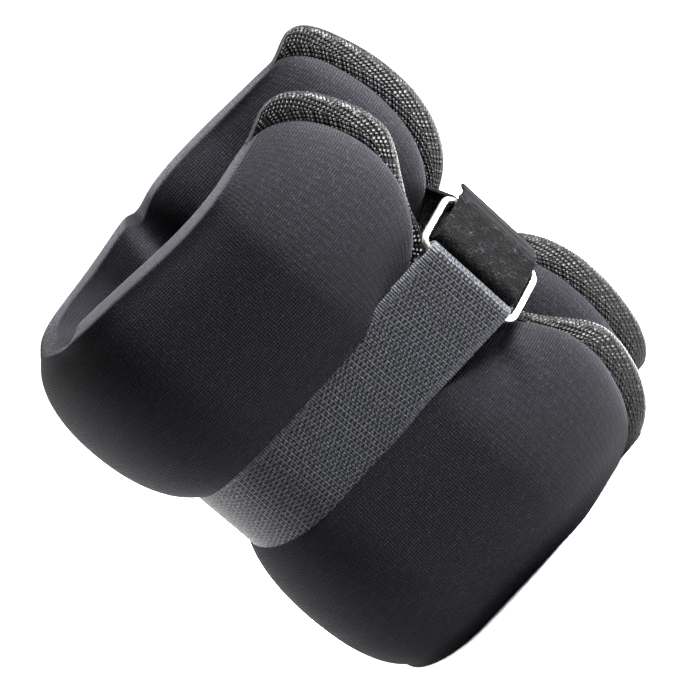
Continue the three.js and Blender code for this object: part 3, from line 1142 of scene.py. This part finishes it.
@dataclass(frozen=True)
class Ribbon:
    """A strap's section: its thickness, width and rounded edges."""

    thickness: float
    width: float
    middle: float = FORM.height / 2
    across_steps: int = 12
    edge_round: float = 0.35

    def build(
        self,
        name: str,
        stations: Sequence[tuple[float, float, float, float]],
        sag: Callable[[float], float] = lambda run: 0.0,
    ) -> bpy.types.Object:
        """Makes the ribbon.

        Args:
            name: The object's name.
            stations: Place and outward normal of each section in plan.
            sag: How far the ribbon hangs below its middle height at a length.

        Returns:
            The new object.
        """
        half = self.thickness / 2
        rim = self.width / 2
        flat = rim - self.edge_round * self.thickness
        face = [(half, v) for v in np.linspace(-flat, flat, self.across_steps + 1)]
        edge = [(half * 0.5, rim), (-half * 0.5, rim)]
        loop = face + edge + [(-n, -v) for n, v in face] + [(-n, -v) for n, v in edge]
        runs = lengths_along(np.array([(x, y) for x, y, _, _ in stations]))
        points = []
        for (x, y, nx, ny), run in zip(stations, runs):
            row = []
            for n, v in loop:
                row.append((x + n * nx, y + n * ny, self.middle + v - sag(run)))
            points.append(row)
        across = [v for _, v in loop] + [loop[0][1]]
        return tube_mesh(name, np.array(points), runs, across)


@dataclass(frozen=True)
class ClosureSizes:
    """Sizes of the strap, the ring and the loop strap at the closure."""

    strap_thickness: float = 1.8 * MM
    strap_width: float = 37.2 * MM
    loop_thickness: float = 2.2 * MM
    tab_thickness: float = 1.4 * MM
    tab_length: float = 27 * MM
    tab_width: float = 35.5 * MM
    ring_inside: float = 40 * MM
    tab_flare: float = 14.0
    gap: float = 0.3 * MM
    wire: float = 3 * MM
    bar_spacing: float = 24 * MM
    ring_angle: float = 44.0
    ring_corner: float = 3.5 * MM
    lift_heading: float = 70.0

    @property
    def strap_rise(self) -> float:
        """Height of the strap's middle over the neoprene."""
        return self.gap + self.strap_thickness / 2

    @property
    def near_radius(self) -> float:
        """Radius of the webbing's middle round the near bar."""
        return self.wire / 2 + self.gap + self.strap_thickness / 2

    @property
    def pass_offset(self) -> float:
        """Distance of the loop strap's middle from the ring's plane."""
        return self.wire / 2 + self.gap + self.loop_thickness / 2

    @property
    def near_bar(self) -> tuple[float, float]:
        """Plan place of the ring's near bar."""
        low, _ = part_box("ring")
        return low.x + self.wire / 2, low.y + self.wire / 2

    def beside_ring(self, distance: float, out: float) -> tuple[float, float]:
        """Returns the plan point at a distance from the near bar and out of the ring's plane."""
        turn = math.radians(self.ring_angle)
        x, y = self.near_bar
        return (
            x + distance * math.cos(turn) + out * math.sin(turn),
            y + distance * math.sin(turn) - out * math.cos(turn),
        )


SIZES = ClosureSizes()


def waist_station(s: float, rise: float) -> tuple[float, float, float, float]:
    """Returns the plan station on the outside of the waist at a height over the neoprene."""
    _, _, nx, ny = FORM.plan(s)
    place = FORM.point(s, FORM.half(s, 0.0, True) + rise, FORM.middle)
    return (place.x, place.y, nx, ny)


@dataclass(frozen=True)
class WaistStrap:
    """The webbing: round the waist, folded round the ring's near bar and sewn to itself."""

    sizes: ClosureSizes
    over_turn: float = 20.0  # past half a turn round the bar, so that the end comes back
    ease_radius: float = 4 * MM
    sewn: float = 8 * MM  # of the end that lies flat on the strap
    ply_gap: float = 0.1 * MM  # between the two plies where they are sewn
    front_clear: float = 4 * MM  # from where the front panel starts to taper
    back_clear: float = 2 * MM  # the same on the back panel
    front_steps: int = 70
    back_steps: int = 16

    def build(self) -> None:
        """Makes the strap's two stretches, one on each side of the crease."""
        sizes = self.sizes
        line_y = -(FORM.middle_y + FORM.waist / 2 + sizes.strap_rise)
        bar_x = sizes.near_bar[0]
        start_x = FORM.front_seam_x - FORM.taper
        run = Route(start_x, line_y, 0.0)
        run.ahead(bar_x - start_x)
        run.turn(sizes.near_radius, 180 + self.over_turn, 14)
        drop = 2 * sizes.near_radius - sizes.strap_thickness - self.ply_gap
        over = math.radians(self.over_turn)
        lean = (sizes.near_radius + self.ease_radius) * (1 - math.cos(over))
        run.ahead((drop - lean) / math.sin(over))
        run.turn(self.ease_radius, -self.over_turn, 4)
        run.ahead(self.sewn)
        waist = np.linspace(FORM.crease_s, FORM.taper + self.front_clear, self.front_steps)
        stations = [waist_station(s, sizes.strap_rise) for s in waist] + run.stations
        ribbon = Ribbon(sizes.strap_thickness, sizes.strap_width)
        front = ribbon.build(
            "webbing_front",
            stations,
            lambda length: FORM.waist_sag(FORM.crease_s - length),
        )
        dress(front, Finish.WEBBING)
        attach(front, "front")
        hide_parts("strap_front")
        back_end = FORM.end_s - FORM.taper + self.back_clear
        rest = np.linspace(FORM.crease_s, back_end, self.back_steps)
        back = ribbon.build("webbing_back", [waist_station(s, sizes.strap_rise) for s in rest])
        dress(back, Finish.WEBBING)
        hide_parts("strap_back")
        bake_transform(back)
        LOG.info("webbing: %d stations", len(stations))


@dataclass(frozen=True)
class WireRing:
    """The rectangular ring of plated wire."""

    sizes: ClosureSizes
    corner_steps: int = 8
    wire_steps: int = 20

    def build(self) -> None:
        """Makes the ring."""
        sizes = self.sizes
        corner = sizes.ring_corner
        half_long = (sizes.ring_inside + sizes.wire) / 2 - corner
        corners = [
            (sizes.bar_spacing - corner, half_long, 0),
            (corner, half_long, 90),
            (corner, -half_long, 180),
            (sizes.bar_spacing - corner, -half_long, 270),
        ]
        rows = []
        for distance, height, start in corners:
            for bent in range(self.corner_steps + 1):
                angle = math.radians(start + 90 * bent / self.corner_steps)
                row = []
                for turned in range(self.wire_steps):
                    around = TURN * turned / self.wire_steps
                    reach = corner + sizes.wire / 2 * math.cos(around)
                    out = sizes.wire / 2 * math.sin(around)
                    x, y = sizes.beside_ring(distance + reach * math.cos(angle), out)
                    row.append((x, y, FORM.middle + height + reach * math.sin(angle)))
                rows.append(row)
        rows.append(rows[0])
        plain = (0.0,) * len(rows), (0.0,) * (self.wire_steps + 1)
        ring = tube_mesh("wire_ring", np.array(rows), *plain, caps=False)
        ring.modifiers.new("weld", "WELD").merge_threshold = 0.001 * MM
        apply_modifiers(ring)
        dress(ring, Finish.NICKEL)
        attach(ring, "ring")
        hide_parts("ring")
        LOG.info("ring: %d faces", len(ring.data.polygons))


@dataclass
class LoopStrap:
    """The brushed loop strap through the ring, and the hook tab on its end."""

    sizes: ClosureSizes
    inner_turn: float = 10 * MM
    outer_turn: float = 18 * MM
    lean: float = math.radians(6.0)  # of the side run, inwards and away from the ring
    corner_past_bar: float = 1.2 * MM
    tab_past_bar: float = 5.8 * MM
    cut_past_bar: float = 50 * MM
    back_overlap: float = 16 * MM  # of the strap over the back panel's webbing
    ply_gap: float = 2.2 * MM  # left for the webbing round the near bar
    tab_turn: float = 12 * MM
    tab_flared: float = 6 * MM  # of the tab's length
    tab_droop: float = 3.5 * MM
    tab_root: float = 0.4 * MM  # between the end of the loop strap and the lift's straight
    far_bar: tuple[float, float] = field(init=False)
    run_to_bar: float = field(init=False)
    side_end: tuple[float, float] = field(init=False)
    cut: tuple[float, float] = field(init=False)

    def __post_init__(self) -> None:
        """Works out the strap's places from the ring's."""
        sizes = self.sizes
        self.far_bar = sizes.beside_ring(sizes.bar_spacing, 0.0)
        turn = math.radians(sizes.ring_angle)
        under = sizes.beside_ring(sizes.bar_spacing, -sizes.pass_offset)
        corner_x = self.far_bar[0] + self.corner_past_bar
        reach = (corner_x - under[0]) / math.cos(turn)
        corner_y = under[1] + reach * math.sin(turn)
        bend = self.inner_turn * math.tan((math.pi / 2 - turn + self.lean) / 2)
        self.run_to_bar = reach - bend
        down, across = math.cos(self.lean), math.sin(self.lean)
        self.side_end = (corner_x - bend * across, corner_y + bend * down)
        cut_y = self.far_bar[1] + self.cut_past_bar
        self.cut = (corner_x - (cut_y - corner_y) * math.tan(self.lean), cut_y)

    def build(self) -> None:
        """Makes the strap's pieces and the tab."""
        self.build_back()
        self.build_side()
        fold = self.build_fold()
        self.build_tab(fold)

    def build_back(self) -> None:
        """Makes the stretch from the back panel to the cut."""
        sizes = self.sizes
        lean = self.lean
        rise = sizes.strap_rise + sizes.strap_thickness / 2 + sizes.gap + sizes.loop_thickness / 2
        start = waist_station(FORM.end_s - FORM.taper - self.back_overlap, rise)
        drop = self.outer_turn * (1 - math.sin(lean))
        down = (start[1] - drop - self.cut[1]) / math.cos(lean)
        ahead = self.cut[0] - start[0] - self.outer_turn * math.cos(lean) - down * math.sin(lean)
        run = Route(start[0], start[1], 0.0).mark()
        run.ahead(ahead)
        run.turn(self.outer_turn, math.degrees(lean) - 90, 12)
        run.ahead(down)
        run.stations = [(x, y, -nx, -ny) for x, y, nx, ny in run.stations]
        strap = Ribbon(sizes.loop_thickness, sizes.strap_width).build("loop_strap_to_ring", run.stations)
        dress(strap, Finish.LOOP)
        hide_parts("loop_strap_back")
        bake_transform(strap)

    def build_side(self) -> None:
        """Makes the stretch from the cut to the bend into the ring."""
        sizes = self.sizes
        run = Route(*self.cut, self.lean - math.pi / 2).mark()
        run.ahead(math.dist(self.cut, self.side_end))
        strap = Ribbon(sizes.loop_thickness, sizes.strap_width).build("loop_strap_side", run.stations)
        dress(strap, Finish.LOOP)
        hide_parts("loop_strap_fold")
        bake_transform(strap)

    def build_fold(self) -> Route:
        """Makes the stretch through the ring and over its far bar.

        Returns:
            The route, standing where the hook tab starts.
        """
        sizes = self.sizes
        centre = sizes.near_radius + sizes.strap_thickness / 2 + self.ply_gap + sizes.pass_offset
        run = Route(*self.side_end, self.lean - math.pi / 2).mark()
        run.turn(self.inner_turn, sizes.ring_angle - 90 - math.degrees(self.lean), 6)
        run.ahead(self.run_to_bar + sizes.bar_spacing - centre)
        run.turn(sizes.pass_offset, 180, 12)
        run.ahead(sizes.bar_spacing - centre)
        run.turn(sizes.pass_offset, sizes.lift_heading - sizes.ring_angle, 6)
        run.ahead(2 * MM)
        strap = Ribbon(sizes.loop_thickness, sizes.strap_width).build("loop_strap_fold", run.stations)
        dress(strap, Finish.LOOP)
        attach(strap, "ring")
        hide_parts("loop_strap_fold")
        return run

    def build_tab(self, fold: Route) -> None:
        """Makes the hook tab.

        Args:
            fold: The route that ends where the tab starts.
        """
        sizes = self.sizes
        lift = math.radians(sizes.lift_heading)
        turn = self.tab_turn
        flared = self.tab_flared
        tab_x = self.far_bar[0] + self.tab_past_bar
        run = Route(fold.x, fold.y, lift).ahead(self.tab_root)
        straight = (tab_x - run.x - turn * (1 - math.sin(lift))) / math.cos(lift)
        run.ahead(straight)
        run.turn(turn, 90 - sizes.lift_heading, 6)
        run.ahead(sizes.tab_length - straight - turn * (math.pi / 2 - lift) - flared)
        run.turn(flared / math.radians(sizes.tab_flare), -sizes.tab_flare, 6)
        tab = Ribbon(sizes.tab_thickness, sizes.tab_width).build(
            "hook_tab_end",
            run.stations,
            lambda length: self.tab_droop * smoothstep(length, 0.0, sizes.tab_length),
        )
        dress(tab, Finish.HOOK)
        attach(tab, "tab")
        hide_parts("hook_tab")


# ---- Bindings ----


@dataclass(frozen=True)
class EndBinding:
    """Herringbone tape folded over one end seam, from the lower rim to the upper rim."""

    front: bool  # True on the front panel's end
    root: float = -3.5 * MM
    tip: float = FORM.flange + 1.4 * MM
    half: float = 3.1 * MM
    belly: float = 0.9 * MM  # of each leaf between the seam and the fold
    lift: float = 3.5 * MM  # of the raw end's outer corner over the rim
    lift_reach: float = 16 * MM
    ripple: float = 0.7 * MM
    ripple_waves: tuple[float, float] = (7 * MM, 4.3 * MM)
    steps: int = 8
    tape_per_height: float = 1.4  # length of tape in each length of height
    half_sections: int = 32

    def section(self, z: float, run: float) -> tuple[list[Vector], list[float]]:
        """Returns the tape's section at a height, and how far round the fold each point is.

        Args:
            z: Height of the section.
            run: Length along the tape, for its ripples.
        """
        wave = 1 + sum(math.sin(run / length) for length in self.ripple_waves) / 2
        bow = self.half + self.ripple * wave
        fold = self.tip - self.half
        shares = [i / self.steps for i in range(self.steps + 1)]
        leaf = [(mix(self.root, fold, t), bow + self.belly * math.sin(math.pi * t)) for t in shares]
        outline = list(leaf)
        across = [reach - self.tip for reach, _ in leaf]
        for share in shares[1:-1]:
            angle = math.pi * share
            outline.append((fold + self.half * math.sin(angle), bow * math.cos(angle)))
            across.append(-self.half + 2 * self.half * share)
        outline += [(reach, -n) for reach, n in reversed(leaf)]
        across += [self.tip - reach for reach, _ in reversed(leaf)]
        near_top = smoothstep(z, FORM.height - self.lift_reach, FORM.height)
        points = []
        for reach, n in outline:
            s = -reach if self.front else FORM.end_s + reach
            place = FORM.point(s, n, z)
            place.z += self.lift * near_top * smoothstep(reach, self.root, self.tip)
            points.append(place)
        return points, across

    def build(self) -> None:
        """Makes the tape."""
        count = self.half_sections
        lower = [FORM.middle * (1 - math.cos(math.pi * i / count)) / 2 for i in range(count + 1)]
        heights = lower + [FORM.height - z for z in reversed(lower[:-1])]
        sections = [self.section(z, z * self.tape_per_height) for z in heights]
        points = np.array([[tuple(p) for p in section] for section, _ in sections])
        along = lengths_along(points[:, self.steps + self.steps // 2])
        across = sections[0][1] + [sections[0][1][0]]
        side = "front" if self.front else "back"
        binding = tube_mesh(f"binding_tape_{side}", points, along, across)
        apply_subdivision(binding)
        dress(binding, Finish.TAPE)
        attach(binding, side)
        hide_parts(f"binding_{side}")
        LOG.info("binding %s: %d faces", side, len(binding.data.polygons))


# ---- Studio ----


@dataclass(frozen=True)
class SoftBox:
    """A square light that faces the cuff."""

    name: str
    place: tuple[float, float, float]
    size: float
    power: float

    def hang(self) -> None:
        """Puts the light into the scene."""
        light = bpy.data.lights.new(self.name, "AREA")
        light.shape = "SQUARE"
        light.size = self.size
        light.energy = self.power
        holder = add_object(self.name, light)
        holder.location = self.place
        aim = Vector((0.0, 0.0, FORM.middle)) - Vector(self.place)
        holder.rotation_mode = "QUATERNION"
        holder.rotation_quaternion = aim.to_track_quat("-Z", "Y")


@dataclass(frozen=True)
class Studio:
    """The floor, the lights and the camera."""

    azimuth: float = 5.0
    elevation: float = 14.3
    roll: float = 48.7
    distance: float = 0.9
    lens: float = 127.0
    target: tuple[float, float, float] = (0.001, 0.0, 0.0942)
    floor_half: float = 8.0
    room_light: float = 0.08
    boxes: tuple[SoftBox, ...] = (
        SoftBox("overhead_box", (0.0, 2.5, 4.0), 12.0, 900.0),
        SoftBox("right_box", (0.38, -0.045, 0.28), 0.22, 58.0),
        SoftBox("left_box", (-0.45, 0.11, 0.16), 0.25, 8.0),
    )

    def build(self) -> None:
        """Makes everything that isn't the cuff."""
        self.build_floor()
        self.build_lights()
        self.build_camera()

    def build_floor(self) -> None:
        """Makes a wide flat sheet of paper under the cuff."""
        size = self.floor_half
        corners = [(-size, -size, 0), (size, -size, 0), (size, size, 0), (-size, size, 0)]
        mesh = bpy.data.meshes.new("paper")
        mesh.from_pydata(corners, [], [(0, 1, 2, 3)])
        mesh.materials.append(StudioPaper().build())
        add_object("paper_sweep", mesh)

    def build_lights(self) -> None:
        """Makes a dim white room, a soft box overhead and one on each side."""
        world = bpy.data.worlds.new("white_room")
        bpy.context.scene.world = world
        world.use_nodes = True
        background = world.node_tree.nodes["Background"]
        background.inputs["Color"].default_value = (1.0, 1.0, 1.0, 1.0)
        background.inputs["Strength"].default_value = self.room_light
        for box in self.boxes:
            box.hang()

    def build_camera(self) -> None:
        """Makes the camera, rolled so that the cuff leans to the left."""
        azimuth = math.radians(self.azimuth)
        elevation = math.radians(self.elevation)
        roll = math.radians(self.roll)
        level = math.cos(elevation)
        side, away = math.sin(azimuth), math.cos(azimuth)
        back = Vector((side * level, -away * level, math.sin(elevation)))
        right = Vector((0, 0, 1)).cross(back).normalized()
        up = back.cross(right)
        image_x = right * math.cos(roll) - up * math.sin(roll)
        image_y = right * math.sin(roll) + up * math.cos(roll)
        data = bpy.data.cameras.new("camera")
        data.lens = self.lens
        data.sensor_width = 36.0
        data.clip_start = 0.01
        data.clip_end = 20.0
        camera = add_object("camera", data)
        turn = Matrix((image_x, image_y, back)).transposed()
        place = Vector(self.target) + back * self.distance
        camera.matrix_world = Matrix.Translation(place) @ turn.to_4x4()
        bpy.context.scene.camera = camera


@dataclass(frozen=True)
class Pouches:
    """The sand pouches inside the lobes, drawn in a little so that they fit the soft sleeve."""

    dents: tuple[Dent, ...]
    height_share: float = 0.86
    inset: float = 1.2 * MM
    rows: tuple[str, str] = ("lower", "upper")

    def build(self) -> None:
        """Makes each pouch and its sand from the frame's own solid."""
        for row in self.rows:
            for place in ("front", "bend", "back"):
                self.refit(f"pouch_{place}_{row}", row, Finish.LINER)
                self.refit(f"sand_{place}_{row}", row, Finish.SAND)
        LOG.info("pouches: %d", len(self.rows) * 3)

    def refit(self, node: str, row: str, finish: Finish) -> None:
        """Makes one piece from a node's solid, drawn in and dented as the sleeve is.

        Args:
            node: The node that the piece stands for.
            row: The lobe's row.
            finish: The piece's finish.
        """
        mesh = frame["nodes"][node].data.copy()
        centre = FORM.lobe_centre(row == "upper")
        normals = [Vector(vertex.normal) for vertex in mesh.vertices]
        for vertex, normal in zip(mesh.vertices, normals):
            vertex.co -= self.inset * normal
            vertex.co.z = centre + (vertex.co.z - centre) * self.height_share
        piece = add_object(f"{node}_filled", mesh)
        for dent in self.dents:
            dent.press(piece)
        dress(piece, finish)
        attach(piece, "back" if "_back_" in node else "front")
        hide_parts(node)


def main() -> None:
    """Builds the cuff and its studio."""
    logging.basicConfig(level=logging.INFO, format="%(name)s: %(message)s")
    bpy.context.scene.view_settings.view_transform = "Standard"
    Studio().build()
    sleeve = Sleeve(FORM)
    sleeve.build()
    Pouches(sleeve.dents).build()
    WaistStrap(SIZES).build()
    WireRing(SIZES).build()
    LoopStrap(SIZES).build()
    EndBinding(front=True).build()
    EndBinding(front=False).build()
    bpy.context.view_layer.update()


if __name__ == "__main__":
    main()
